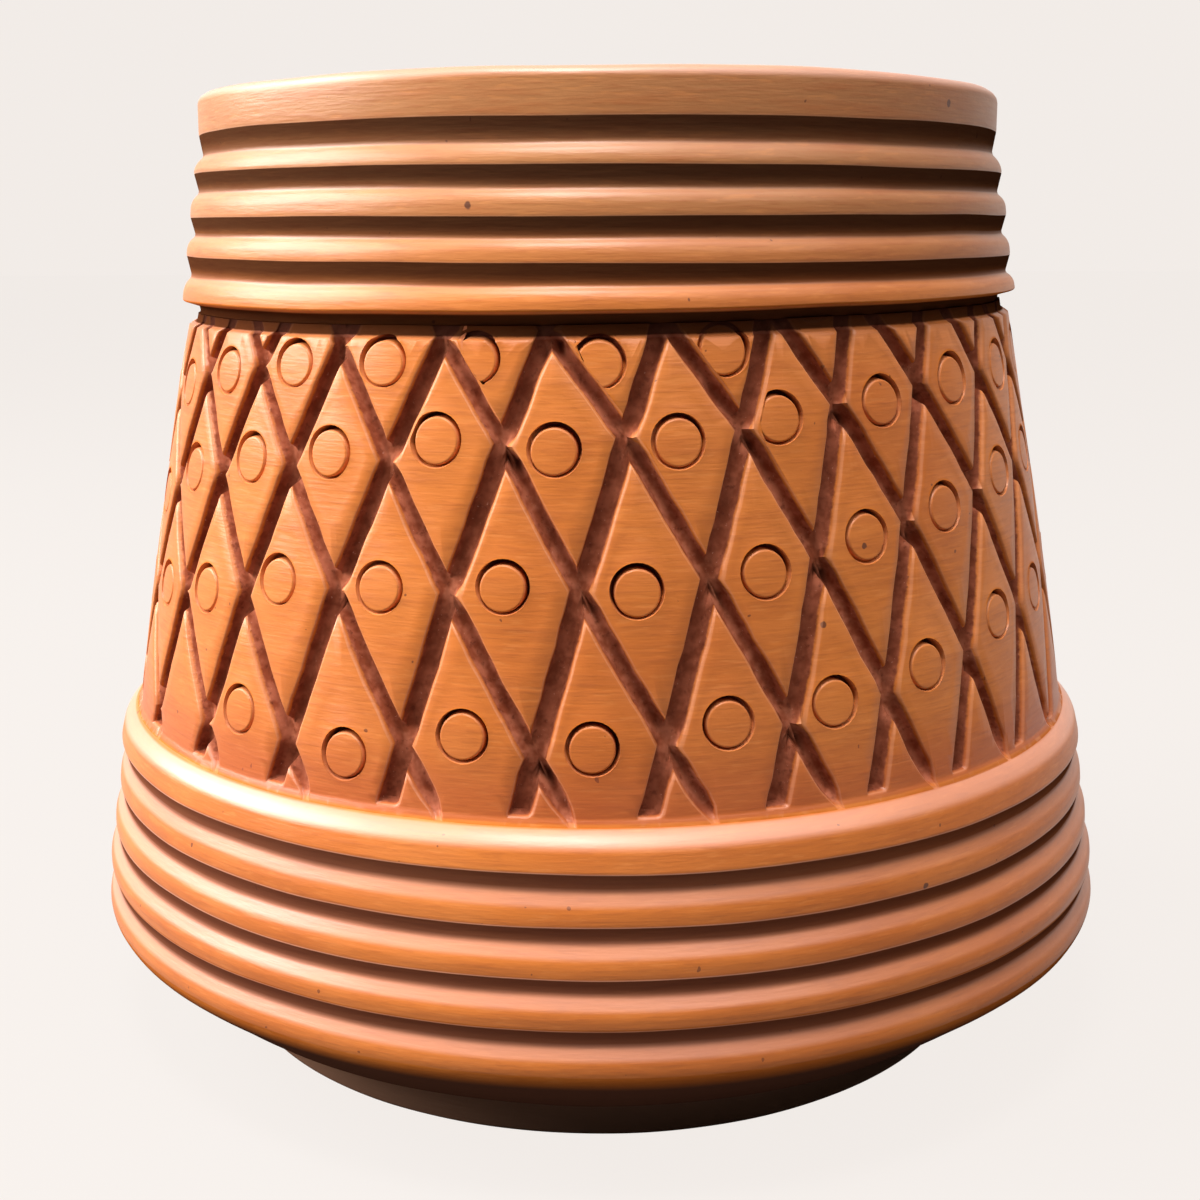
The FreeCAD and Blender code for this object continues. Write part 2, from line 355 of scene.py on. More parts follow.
# %% Lay out the carved lines
CARVE_HEIGHTS = (82, 104, 126, 148, 170)
FIRST_STEEP = -6
STEEP_COUNT = 28
STEEP_FRONT = [
    (-75.9, -71.1, -66.0, -60.6, -54.9), (-62.0, -58.3, -53.7, -48.4, -42.3),
    (-48.7, -45.3, -41.1, -36.3, -30.8), (-35.2, -32.0, -28.1, -23.2, -17.6),
    (-21.2, -18.4, -14.9, -10.7, -5.9), (-7.6, -4.6, -1.4, 2.4, 6.7),
    (5.1, 8.5, 11.8, 15.4, 19.1), (17.8, 20.9, 23.8, 26.8, 29.8),
    (29.2, 32.2, 35.4, 38.9, 42.7), (41.1, 44.5, 48.1, 52.1, 56.0),
    (53.4, 56.5, 60.1, 64.2, 69.0),
]
FIRST_SLANTED = -3
SLANTED_COUNT = 26
SLANTED_FRONT = [
    (-46.2, -53.6, -60.9, -69.1, -79.4), (-32.2, -39.2, -46.1, -53.3, -61.8),
    (-17.1, -23.9, -31.2, -39.0, -47.2), (-3.9, -10.4, -17.3, -24.5, -32.1),
    (9.9, 3.6, -3.1, -9.8, -17.9), (23.2, 17.4, 11.0, 4.3, -5.2),
    (35.6, 30.1, 24.2, 17.7, 8.5), (49.0, 44.3, 38.2, 31.2, 22.1),
    (62.7, 58.6, 53.0, 45.7, 35.5),
]
# How far a line at the back may be off its even place, and each of its five places off the line.
LINE_CHANCE = 0.7
PLACE_CHANCE = 0.3
# The heights between which a crossing is searched for, and how often their gap is halved.
SEARCH_HEIGHTS = (-60, 320)
HALVINGS = 30


def all_lines(front, count):
    """The lines at the front, and the others spaced between the last and the first of them."""
    lines = [list(line) for line in front]
    unseen = count - len(front)
    for step in range(1, unseen + 1):
        share = step / (unseen + 1)
        shift = hand.uniform(-LINE_CHANCE, LINE_CHANCE)
        lines.append([last + (first + 360 - last) * share + shift
                      + hand.uniform(-PLACE_CHANCE, PLACE_CHANCE)
                      for first, last in zip(front[0], front[-1])])
    return lines


def line_place(lines, index, height):
    """The place of a line round the pot at a height, in degrees. Lines go on past a full turn."""
    turns, index = divmod(index, len(lines))
    places = lines[index]
    run = 0
    while run < len(CARVE_HEIGHTS) - 2 and height > CARVE_HEIGHTS[run + 1]:
        run += 1
    share = (height - CARVE_HEIGHTS[run]) / (CARVE_HEIGHTS[run + 1] - CARVE_HEIGHTS[run])
    return places[run] + (places[run + 1] - places[run]) * share + 360 * turns


steep_lines = all_lines(STEEP_FRONT, STEEP_COUNT)
slanted_lines = all_lines(SLANTED_FRONT, SLANTED_COUNT)


def crossing(steep, slanted):
    """Where a steep and a slanted line cross: the place round the pot and the height."""
    low, high = SEARCH_HEIGHTS
    for _ in range(HALVINGS):
        middle = (low + high) / 2
        apart = (line_place(steep_lines, steep - FIRST_STEEP, middle)
                 - line_place(slanted_lines, slanted - FIRST_SLANTED, middle))
        low, high = (middle, high) if apart < 0 else (low, middle)
    return line_place(steep_lines, steep - FIRST_STEEP, low), low


print(f"{len(steep_lines)} steep lines and {len(slanted_lines)} slanted ones")

# %% [markdown]
# The wall is carved while it lies flat. If the wall is slit and unrolled, the crossings lie in
# rows, so a plain grid from Blender is pulled until its corners lie on them. X is then the way
# round the pot, Y the height, and Z the relief, all in millimetres. Upright edges of the grid now
# follow the steep lines. Cutting every face from corner to corner adds the slanted lines, and
# dissolving the level edges leaves the lozenges. Insetting them again and again cuts all the
# grooves at once, without a boolean. Each time the four sides move in by distances of their own
# and the face gets another height, so the grooves have soft edges and unequal sides.

# %% Unroll the wall and cut the grooves
MID_RADIUS = 107.0
ROWS = 10
FIRST_ROW = -3
WALL_FOOT = 79.5
NECK_STARTS = 169.2
NECK_ENDS = 170.3
GROOVE_FLOOR = -3.0
SIDE_SEGMENTS = 8
# Each new ring of points starts this far in, and is then moved to its own place.
INSET = 0.02
# A relief, and how far the lozenge's sides are there from their grooves' middle lines: its upper
# left side, its lower left, its lower right and its upper right.
GROOVE_SHAPE = (
    (-2.9, 0.6, 0.5, 0.9, 0.5),
    (-2.7, 1.0, 0.9, 1.6, 0.9),
    (-2.1, 1.35, 1.3, 1.95, 1.3),
    (-1.3, 1.6, 1.55, 2.1, 1.55),
    (-0.6, 1.9, 1.8, 2.18, 1.75),
    (-0.22, 2.15, 1.97, 2.28, 1.9),
    (-0.03, 2.6, 2.25, 2.5, 2.2),
)


def from_the_top(face):
    """A face's corners in order, starting with the highest."""
    corners = list(face.verts)
    start = corners.index(max(corners, key=lambda corner: corner.co.y))
    return corners[start:] + corners[:start]


def moved_in(outline, distances):
    """A lozenge's outline with each side moved inwards by its own distance."""
    sides = []
    for first, second, distance in zip(outline, outline[1:] + outline[:1], distances):
        way = (second - first).normalized()
        place = first + Vector((-way.y, way.x, 0)) * distance
        sides.append((place, place + way))
    return [geometry.intersect_line_line(*side, *before)[0]
            for side, before in zip(sides, sides[-1:] + sides[:-1])]


wall_bm = bmesh.new()
wall_bm.verts.layers.float.new("stamped")
bmesh.ops.create_grid(wall_bm, x_segments=STEEP_COUNT, y_segments=ROWS, size=1)
wall_bm.verts.index_update()
for vert in wall_bm.verts:
    row, column = divmod(vert.index, STEEP_COUNT + 1)
    steep = FIRST_STEEP + column
    place, height = crossing(steep, steep + FIRST_ROW + row)
    vert.co = (math.radians(place) * MID_RADIUS, height, GROOVE_FLOOR)
level_edges = [edge for edge in wall_bm.edges if edge.verts[0].index // (STEEP_COUNT + 1)
               == edge.verts[1].index // (STEEP_COUNT + 1)]
for face in wall_bm.faces[:]:
    low_right, high_left = sorted(face.verts, key=lambda vert: vert.index)[1:3]
    bmesh.ops.connect_verts(wall_bm, verts=[low_right, high_left])
bmesh.ops.dissolve_edges(wall_bm, edges=[edge for edge in level_edges if not edge.is_boundary])
lozenges = [face for face in wall_bm.faces if len(face.verts) == 4]
outlines = [[Vector((corner.co.x, corner.co.y, 0)) for corner in from_the_top(lozenge)]
            for lozenge in lozenges]
long_edges = set(wall_bm.edges)
for relief, *distances in GROOVE_SHAPE:
    bmesh.ops.inset_individual(wall_bm, faces=lozenges, thickness=INSET)
    for lozenge, outline in zip(lozenges, outlines):
        long_edges.update(lozenge.edges)
        for corner, place in zip(from_the_top(lozenge), moved_in(outline, distances)):
            corner.co = (place.x, place.y, relief)
bmesh.ops.subdivide_edges(wall_bm, edges=list(long_edges), cuts=SIDE_SEGMENTS - 1)
lozenges = [face for face in wall_bm.faces if len(face.verts) == 4 * SIDE_SEGMENTS]
print(f"{len(lozenges)} lozenges on the unrolled wall")

# %% [markdown]
# A groove cut by hand wobbles and runs deeper here and shallower there. Where the second family of
# grooves crossed the first, the tool tore the clay: it left a burr at the left corner of each
# lozenge, and dug in just past it. The crossings go in a search tree, so that each point of the
# sheet can find the nearest one quickly. Points on the slit stay where they are, so that its two
# edges still fit each other when the sheet is rolled up.

# %% Roughen the grooves
# The skin is at 0, and points below this relief belong to a groove.
BELOW_SKIN = -0.01
# How much a groove's depth changes, how far its sides wobble, and how far apart the changes lie.
DEPTH_CHANGE = 0.3
DEPTH_CHANGES = 7
WOBBLE = 0.3
WOBBLES = 5
# Burrs and pits: how far each is from a lozenge's left corner, its reach and its greatest size.
# No burr rises above its top, and no burr or pit is smaller than the least share of its size.
BURR_SHIFT = Vector((1.5, -0.1, 0))
BURR_REACH = 1.2
BURR_HEIGHT = 3.2
BURR_TOP = -0.1
PIT_SHIFT = 2.6
PIT_REACH = 1.7
PIT_DEPTH = 2.6
LEAST_SHARE = 0.2

burrs = KDTree(len(outlines))
pits = KDTree(len(outlines))
for index, (_, left, bottom, _) in enumerate(outlines):
    burrs.insert(left + BURR_SHIFT, index)
    pits.insert(left + (bottom - left).normalized() * PIT_SHIFT, index)
burrs.balance()
pits.balance()
burr_heights = [hand.uniform(LEAST_SHARE, 1) * BURR_HEIGHT for _ in outlines]
pit_depths = [hand.uniform(LEAST_SHARE, 1) * PIT_DEPTH for _ in outlines]
for vert in wall_bm.verts:
    if vert.co.z > BELOW_SKIN or vert.is_boundary:
        continue
    flat = Vector((vert.co.x, vert.co.y, 0))
    _, burr, burr_away = burrs.find(flat)
    _, pit, pit_away = pits.find(flat)
    vert.co.z *= 1 + DEPTH_CHANGE * noise.noise(flat / DEPTH_CHANGES)
    fall = pit_depths[pit] * math.exp(-0.5 * (pit_away / PIT_REACH) ** 2)
    vert.co.z -= fall * min(1, -vert.co.z)
    rise = burr_heights[burr] * math.exp(-0.5 * (burr_away / BURR_REACH) ** 2)
    vert.co.z = max(vert.co.z, min(vert.co.z + rise, BURR_TOP))
    vert.co.x += WOBBLE * noise.noise(flat / WOBBLES)
    vert.co.y += WOBBLE * noise.noise(flat / WOBBLES + Vector((0, 0, 9)))
print(f"burrs up to {max(burr_heights):.1f} mm high")

# %% [markdown]
# Near the middle of each lozenge the potter presses the end of a pipe into the clay. It leaves a
# round furrow with a button of untouched clay inside it. The lozenge's face already has as many
# corners as a circle needs, so insetting it and moving the new corners onto circles turns
# lozenge into ring without any stray triangles. No stamp sits quite in the middle, each is deeper
# on one side, and its button has slid down a little. Where a stamp meets a lozenge's side, its
# rings are held inside the lozenge and soon lose their relief.

# %% Press the stamps
# Distance from a stamp's middle, and the relief there.
STAMP_SHAPE = ((5.9, 0), (5.4, 0.08), (5.22, -1.0), (5.1, -2.1), (4.75, -2.2), (4.6, -0.9),
               (4.45, -0.2), (4.25, -0.02), (4.05, 0))
# Rings of points nearer the middle than this belong to the button.
BUTTON_REACH = 4.9
# How much deeper than its mean a stamp is on its deepest side.
TILT_STRENGTH = 0.5
# The share of the room up to a lozenge's side that a ring may take, how much more it may take for
# each millimetre of its reach, and how fast its relief goes when it is held in.
HELD_SHARE = 0.8
HELD_PER_MM = 0.035
RELIEF_FADE = 5
# Lozenges with their middle between these heights get a stamp, and the trim cuts off the highest.
LOWEST_STAMP = 87
HIGHEST_STAMP = WALL_HIGH + 12
# A stamp of the list below belongs to the lozenge whose middle is nearer to it than this.
SAME_LOZENGE = 9
# Stamps at the front: the place round the pot in degrees from the front, and the height.
FRONT_STAMPS = [
    (-51.5, 161.0), (-38.2, 163.9), (-25.2, 164.9), (-14.0, 165.9), (0.0, 165.1), (14.0, 167.1),
    (-58.0, 139.2), (-44.2, 143.9), (-31.5, 146.7), (-18.0, 150.3), (-4.8, 148.9), (8.5, 150.3),
    (20.0, 154.0), (34.0, 156.0), (47.0, 159.0), (-50.7, 115.0), (-37.5, 120.5), (-23.7, 121.5),
    (-10.0, 123.1), (3.8, 122.5), (17.5, 125.1), (30.0, 130.1), (42.5, 133.6), (56.0, 138.2),
    (-55.5, 88.8), (-42.0, 92.4), (-27.5, 98.9), (-13.8, 94.4), (-0.8, 92.8), (12.8, 96.8),
    (24.5, 98.9), (37.0, 102.9), (51.0, 108.9),
]
# The cone of the wall's outside, the flare at its foot and the neck at its top.
CONE_LOW = 80
CONE_LOW_RADIUS = 114.7
CONE_HIGH_RADIUS = 97.9
CONE_FULLNESS = 2.6
LEDGE_FLARE = 0.45
NECK_DEPTH = 1.6


def wall_radius(height):
    """The wall's outside: a cone, a little full, with a flare at the ledge and a neck at the top."""
    share = (height - CONE_LOW) / (WALL_HIGH - CONE_LOW)
    cone = CONE_LOW_RADIUS + (CONE_HIGH_RADIUS - CONE_LOW_RADIUS) * share
    flare = LEDGE_FLARE * max(0, WALL_FOOT - height)
    neck = NECK_DEPTH * eased(NECK_STARTS, NECK_ENDS, height)
    return cone + CONE_FULLNESS * share * (1 - share) + flare - neck


def stamp_middle(middle):
    """The listed stamp that belongs to a lozenge, or else a chance place near its middle."""
    for place, height in FRONT_STAMPS:
        seen = Vector((math.radians(place) * MID_RADIUS, height, 0))
        if (seen - middle).length < SAME_LOZENGE:
            return seen
    return middle + Vector((hand.uniform(-1, 1), hand.uniform(-1.5, 2.5), 0))


FAR = 99
PARALLEL = 1e-6


def room(outline, middle, away):
    """How far a point may go from a middle along a direction before it leaves an outline."""
    nearest = FAR
    for first, second in zip(outline, outline[1:] + outline[:1]):
        side = second - first
        gap = first - middle
        across = away.x * side.y - away.y * side.x
        if abs(across) < PARALLEL:
            continue
        distance = (gap.x * side.y - gap.y * side.x) / across
        share = (gap.x * away.y - gap.y * away.x) / across
        if distance > 0 and 0 <= share <= 1:
            nearest = min(nearest, distance)
    return nearest


def press(lozenge):
    """One stamp's middle, depth and slide, and each corner's direction, room and strength."""
    outline = [corner.co.copy() for corner in from_the_top(lozenge)]
    middle = lozenge.calc_center_median()
    middle.z = 0
    seat = stamp_middle(middle) if LOWEST_STAMP < middle.y < HIGHEST_STAMP else middle
    depth = hand.uniform(0.8, 1.3) if seat is not middle else 0
    tilt = math.radians(hand.uniform(40, 130))
    slide = Vector((hand.uniform(-0.12, 0.12), hand.uniform(-0.4, -0.08), 0))
    squeeze = MID_RADIUS / wall_radius(max(WALL_LOW, min(seat.y, WALL_HIGH)))
    corners = []
    for number in range(4 * SIDE_SEGMENTS):
        turn = math.pi / 2 + math.tau * number / (4 * SIDE_SEGMENTS)
        away = Vector((math.cos(turn) * squeeze, math.sin(turn), 0))
        strength = 1 + TILT_STRENGTH * math.cos(turn - tilt)
        corners.append((away, room(outline, seat, away), strength))
    return lozenge, seat, depth, slide, corners


stamped = wall_bm.verts.layers.float["stamped"]
pressed = [press(lozenge) for lozenge in lozenges]
# The first inset lies halfway between the lozenge and the circle, and the others are circles.
for reach, relief in ((None, 0),) + STAMP_SHAPE:
    bmesh.ops.inset_individual(wall_bm, faces=lozenges, thickness=INSET)
    for lozenge, seat, depth, slide, corners in pressed:
        for corner, (away, limit, strength) in zip(from_the_top(lozenge), corners):
            if reach is None:
                corner.co = (corner.co + seat + away * min(STAMP_SHAPE[0][0], limit)) / 2
                corner.co.z = 0
                continue
            kept = min(reach, limit * (HELD_SHARE + HELD_PER_MM * reach))
            fade = max(0, 1 - RELIEF_FADE * (1 - kept / reach))
            corner.co = seat + away * kept + (slide if reach < BUTTON_REACH else Vector((0, 0, 0)))
            corner.co.z = relief * depth * strength * fade
            corner[stamped] = 1
bmesh.ops.poke(wall_bm, faces=lozenges)
print(f"{sum(stamp[2] > 0 for stamp in pressed)} stamps, some of them past the wall's edges")

# %% [markdown]
# The sheet is then trimmed to the wall's height. At their lower ends the steep grooves stop short
# and square above the ledge, where the tool was lifted out, and the slanted ones run out to a
# point. Extra lines of vertices across the sheet give these ends something to bend at.

# %% Trim the sheet and finish the grooves' ends
STEEP_ENDS = (WALL_FOOT, 80.3)
SLANTED_ENDS = (76.5, 83.5)
ENDS_BELOW = 85
# A point as close to both lines, give or take this, is the steep one's, on both edges of the slit.
TIE = 0.01
# The share of its width that a slanted groove still has where it runs out.
NARROWEST = 0.3


def cut_across(height, facing=1, trim=False):
    """Cut the sheet along a level line, and trim off the side that facing points away from."""
    everything = wall_bm.verts[:] + wall_bm.edges[:] + wall_bm.faces[:]
    bmesh.ops.bisect_plane(wall_bm, geom=everything, plane_co=(0, height, 0),
                           plane_no=(0, facing, 0), clear_inner=trim)


for height in (79.2, WALL_FOOT, 79.8, 80.3, 81.6, 84, NECK_STARTS, 169.7, NECK_ENDS):
    cut_across(height)
cut_across(WALL_LOW, trim=True)
cut_across(WALL_HIGH, facing=-1, trim=True)


def nearest_line(lines, point):
    """The X of the nearest line of a family at a point's height."""
    places = [math.radians(line_place(lines, index, point.y)) * MID_RADIUS
              for index in range(-2, len(lines) + 2)]
    return min(places, key=lambda place: abs(place - point.x))


for vert in wall_bm.verts:
    if vert.co.y > ENDS_BELOW or vert.co.z > BELOW_SKIN:
        continue
    steep_x = nearest_line(steep_lines, vert.co)
    slanted_x = nearest_line(slanted_lines, vert.co)
    steep_share = eased(*STEEP_ENDS, vert.co.y)
    slanted_share = eased(*SLANTED_ENDS, vert.co.y)
    if abs(steep_x - vert.co.x) < abs(slanted_x - vert.co.x) + TIE:
        vert.co.z *= steep_share
    else:
        vert.co.z *= slanted_share
        width = NARROWEST + (1 - NARROWEST) * slanted_share
        vert.co.x = slanted_x + (vert.co.x - slanted_x) * width
print(f"{len(wall_bm.verts)} points on the trimmed sheet")

# %% [markdown]
# Now the sheet is rolled up: X becomes an angle, Y the height and Z a distance in or out. The two
# slit edges run along the same groove, so they close without a trace. Three attributes tell the
# clay's colour how deep a point was cut, whether a groove of the second family cut it, and
# whether it lies in the turned neck, where it gets the painted shade of a turned groove.
#
# The ends of the sheet are then pulled inwards ring by ring, to give the wall its thickness, its
# smooth inside and the half laps that sit in the base and the collar. The fill that joins the last
# two rings spans the mouth as well, so its faces there are taken out again.

# %% Roll up the wall and give it thickness
LINE_HEIGHTS = range(75, 176)
LINES_PAST = 3
# The second family's colour is full up to the first distance from its lines, and none past the other.
SECOND_REACH = (1.7, 2.3)
# How much of the relief is lost in the neck, and of a cut's colour in a stamp.
NECK_FILLS = 0.85
STAMP_PALER = 0.5
INSIDE_STEPS = 8
LID_MARGIN = 1

second = KDTree(len(LINE_HEIGHTS) * (SLANTED_COUNT + 2 * LINES_PAST))
for line in range(-LINES_PAST, SLANTED_COUNT + LINES_PAST):
    for height in LINE_HEIGHTS:
        place = math.radians(line_place(slanted_lines, line, height)) * MID_RADIUS
        second.insert((place, height, 0), 0)
second.balance()
cut_layer = wall_bm.verts.layers.float.new("cut")
second_layer = wall_bm.verts.layers.float.new("second")
turned_layer = wall_bm.verts.layers.float.new("turned")
# New layers move the older ones, so this one is looked up again.
stamped = wall_bm.verts.layers.float["stamped"]
for vert in wall_bm.verts:
    angle = vert.co.x / MID_RADIUS
    neck = eased(NECK_STARTS, NECK_ENDS, vert.co.y)
    radius = wall_radius(vert.co.y) + vert.co.z * (1 - NECK_FILLS * neck)
    vert[cut_layer] = max(0, vert.co.z / GROOVE_FLOOR) * (1 - STAMP_PALER * vert[stamped])
    away = second.find((vert.co.x, vert.co.y, 0))[2]
    vert[second_layer] = 1 - eased(*SECOND_REACH, away)
    vert[turned_layer] = neck
    vert.co = (radius * math.sin(angle), -radius * math.cos(angle), vert.co.y)
bmesh.ops.remove_doubles(wall_bm, verts=wall_bm.verts, dist=MERGE)


def pull_ring(bm, ring, radius, height):
    """Pull a ring of edges out to a new radius and height, and give back the new ring."""
    made = bmesh.ops.extrude_edge_only(bm, edges=ring)["geom"]
    verts = {item for item in made if isinstance(item, bmesh.types.BMVert)}
    for vert in verts:
        scale = radius / math.hypot(vert.co.x, vert.co.y)
        vert.co = (vert.co.x * scale, vert.co.y * scale, height)
        vert[cut_layer] = 0
    return [item for item in made if isinstance(item, bmesh.types.BMEdge)
            and item.verts[0] in verts and item.verts[1] in verts]


open_edges = [edge for edge in wall_bm.edges if edge.is_boundary]
middle_height = (WALL_LOW + WALL_HIGH) / 2
low_ring = [edge for edge in open_edges if edge.verts[0].co.z < middle_height]
top_ring = [edge for edge in open_edges if edge.verts[0].co.z > middle_height]
for radius, height in ((LOW_LAP, WALL_LOW), (LOW_LAP, LAP_LOW), (INSIDE_LOW, LAP_LOW)):
    low_ring = pull_ring(wall_bm, low_ring, radius, height)
for step in range(1, INSIDE_STEPS + 1):
    share = step / INSIDE_STEPS
    low_ring = pull_ring(wall_bm, low_ring, INSIDE_LOW + (INSIDE_TOP - INSIDE_LOW) * share,
                         LAP_LOW + (LAP_HIGH - LAP_LOW) * share)
for height in (WALL_HIGH, LAP_HIGH):
    top_ring = pull_ring(wall_bm, top_ring, TOP_LAP, height)
filled = bmesh.ops.triangle_fill(wall_bm, use_beauty=True, edges=low_ring + top_ring)["geom"]
lid = [item for item in filled if isinstance(item, bmesh.types.BMFace)
       and math.hypot(*item.calc_center_median().xy) < INSIDE_TOP + LID_MARGIN]
bmesh.ops.delete(wall_bm, geom=lid, context="FACES")
odd_edges = sum(not edge.is_manifold for edge in wall_bm.edges)
print(f"edges of the wall that don't join exactly two faces: {odd_edges}")
wall = fired(wall_bm, "wall", "carved_wall")

# %% [markdown]
# The finish is a thin red slip brushed on level while the pot turned, over a darker, rougher body.
# Material maths reads best as ordinary expressions, so a small class wraps a node's socket and
# adds Math nodes when signals are added, subtracted or multiplied.

# %% Shader maths as expressions
class Signal:
    """A value on its way through a material's nodes."""

    def __init__(self, tree, socket):
        self.tree = tree
        self.socket = socket

    def node(self, kind, inputs, out=0, **settings):
        """Add a node, with its settings first and then the values or links of its inputs."""
        node = self.tree.nodes.new(kind)
        for setting, value in settings.items():
            setattr(node, setting, value)
        for key, value in inputs.items():
            if isinstance(value, Signal):
                self.tree.links.new(value.socket, node.inputs[key])
            else:
                node.inputs[key].default_value = value
        return Signal(self.tree, node.outputs[out])

    def maths(self, operation, first, second, clamp=False):
        """Add a Math node."""
        return self.node("ShaderNodeMath", {0: first, 1: second}, operation=operation,
                         use_clamp=clamp)

    def __add__(self, other):
        return self.maths("ADD", self, other)

    def __radd__(self, other):
        return self.maths("ADD", other, self)

    def __sub__(self, other):
        return self.maths("SUBTRACT", self, other)

    def __rsub__(self, other):
        return self.maths("SUBTRACT", other, self)

    def __mul__(self, other):
        return self.maths("MULTIPLY", self, other)

    def __rmul__(self, other):
        return self.maths("MULTIPLY", other, self)

    def larger(self, other):
        """The larger of two signals."""
        return self.maths("MAXIMUM", self, other)

    def between(self, low, high):
        """Go from 0 where the signal is low to 1 where it is high."""
        return self.node("ShaderNodeMapRange", {0: self, 1: low, 2: high},
                         interpolation_type="SMOOTHSTEP")

    def mix(self, first, second):
        """Go from the first colour to the second as the signal goes from 0 to 1."""
        return self.node("ShaderNodeMix", {0: self, 6: first, 7: second}, out=2, data_type="RGBA")

    def stretched(self, scale):
        """The position, with each axis scaled by its own amount."""
        return self.node("ShaderNodeMapping", {"Vector": self, "Scale": scale})

    def noise(self, scale, detail=2.0, roughness=0.5):
        """Even cloudy noise on a position."""
        return self.node("ShaderNodeTexNoise", {"Vector": self, "Scale": scale, "Detail": detail,
                                                "Roughness": roughness})


def colour(red, green, blue):
    """A colour given as on a screen, from 0 to 255, as the shader wants it."""
    def linear(value):
        value /= 255
        return value / 12.92 if value <= 0.04045 else ((value + 0.055) / 1.055) ** 2.4
    return (linear(red), linear(green), linear(blue), 1)


def attribute(tree, name):
    """A signal from a mesh attribute."""
    node = tree.nodes.new("ShaderNodeAttribute")
    node.attribute_name = name
    return Signal(tree, node.outputs["Fac"])


def position(tree):
    """The position on the piece, in metres."""
    return Signal(tree, tree.nodes.new("ShaderNodeTexCoord").outputs["Object"])


print("signals ready")

# %% [markdown]
# The colours follow signals: the position on the pot, the attributes of its points, and noises of
# several sizes. The brush marks are noises too, squeezed so flat that their clouds become level
# lines. All of them are gathered once, under plain names.

# %% Gather the signals
def clay_signals(tree):
    """Everything that the clay's colours follow, by name."""
    place = position(tree)
    return SimpleNamespace(
        place=place,
        east=place.node("ShaderNodeSeparateXYZ", {0: place}, out=0),
        up=place.node("ShaderNodeSeparateXYZ", {0: place}, out=2),
        cut=attribute(tree, "cut"),
        second=attribute(tree, "second"),
        turned=attribute(tree, "turned"),
        inside=attribute(tree, "inside"),
        under=attribute(tree, "under"),
        fine_brush=place.stretched((55, 55, 1300)).noise(1.0, 3.0, 0.6),
        brush=place.stretched((45, 45, 420)).noise(1.0, 3.0, 0.6),
        ripples=place.stretched((170, 170, 1150)).noise(1.0, 2.0, 0.5),
        wide_brush=place.stretched((9, 9, 150)).noise(1.0, 2.0),
        clouds=place.noise(16, 3.0),
        patches=place.noise(42, 2.0),
        grain=place.noise(700, 3.0, 0.6),
        lumps=place.noise(330, 2.0, 0.6),
        grit=place.noise(1500, 2.0),
        specks=place.noise(560, 0.0),
    )


print("signals gathered")

# %% [markdown]
# The slip is a warm orange brown that drifts a little between redder and paler, with fine level
# brush lines. It is greyer on the collar and darker low on the base. At the collar's right it is
# painted darker, as shade, and at the wall's foot it is redder and painted darker with the shade of
# the corner over the ledge. Fine dark specks are scattered over it, and larger ones are put one by
# one where the real pot has a pit or a speck.

# %% Brush on the slip
# Pits and specks: degrees round from the front, height, distance from the axis and reach, in mm.
FLAWS = ((50.5, 214.6, 93.5, 0.9), (-14.8, 194.3, 96.5, 1.0), (-16.5, 115.5, 108.6, 0.6),
         (23.8, 114.0, 109.0, 0.8), (29.5, 128.5, 106.4, 0.7), (33.0, 60.0, 121.0, 0.7))
# How ragged the edge of a pit or speck is, in metres, and the share of its reach that is all dark.
RAGGED = 0.002
ALL_DARK = 0.7


def flaw_at(on, turn, height, away, reach):
    """A signal that is 1 in a pit or speck."""
    turn = math.radians(turn)
    spot = (away * math.sin(turn) * MM, -away * math.cos(turn) * MM, height * MM)
    gap = on.place.node("ShaderNodeVectorMath", {0: on.place, 1: spot}, out=1,
                        operation="DISTANCE")
    return 1 - (gap + (on.lumps - 0.5) * RAGGED).between(reach * MM * ALL_DARK, reach * MM)


def slip_colour(on):
    """The slip, with its brush lines, tints, specks and pits."""
    slip = on.clouds.between(0.35, 0.65).mix(colour(202, 114, 46), colour(190, 102, 40))
    slip = (on.patches.between(0.45, 0.7) * 0.3).mix(slip, colour(210, 126, 64))
    slip = (on.up.between(0.168, 0.2) * 0.6).mix(slip, colour(154, 116, 78))
    slip = (on.brush.between(0.4, 0.75) * 0.35).mix(slip, colour(166, 86, 38))
    slip = (on.fine_brush.between(0.5, 0.75) * 0.3).mix(slip, colour(156, 80, 36))
    slip = (on.ripples.between(0.55, 0.7) * 0.22).mix(slip, colour(150, 74, 32))
    slip = ((1 - on.ripples.between(0.3, 0.43)) * 0.18).mix(slip, colour(226, 144, 78))
    slip = (on.wide_brush.between(0.5, 0.75) * 0.15).mix(slip, colour(212, 130, 70))
    slip = (on.specks.between(0.865, 0.88) * 0.7).mix(slip, colour(80, 38, 24))
    # Painted shade: the collar's right side is darkened, as where less light falls on it.
    painted_shade_collar_right = on.up.between(0.172, 0.182) * on.east.between(0.025, 0.085)
    slip = (painted_shade_collar_right * 0.42).mix(slip, colour(112, 60, 32))
    slip = ((1 - on.up.between(0.03, 0.078)) * 0.3).mix(slip, colour(140, 72, 30))
    # Painted shade in the corner where the wall meets the ledge, together with a redder tint of the
    # clay at the wall's foot.
    wall_foot = on.up.between(0.0784, 0.0788) * (1 - on.up.between(0.081, 0.095))
    slip = (wall_foot * 0.45).mix(slip, colour(150, 60, 34))
    for flaw in FLAWS:
        slip = (flaw_at(on, *flaw) * 0.85).mix(slip, colour(70, 32, 20))
    return slip


print(f"slip with {len(FLAWS)} pits and specks")
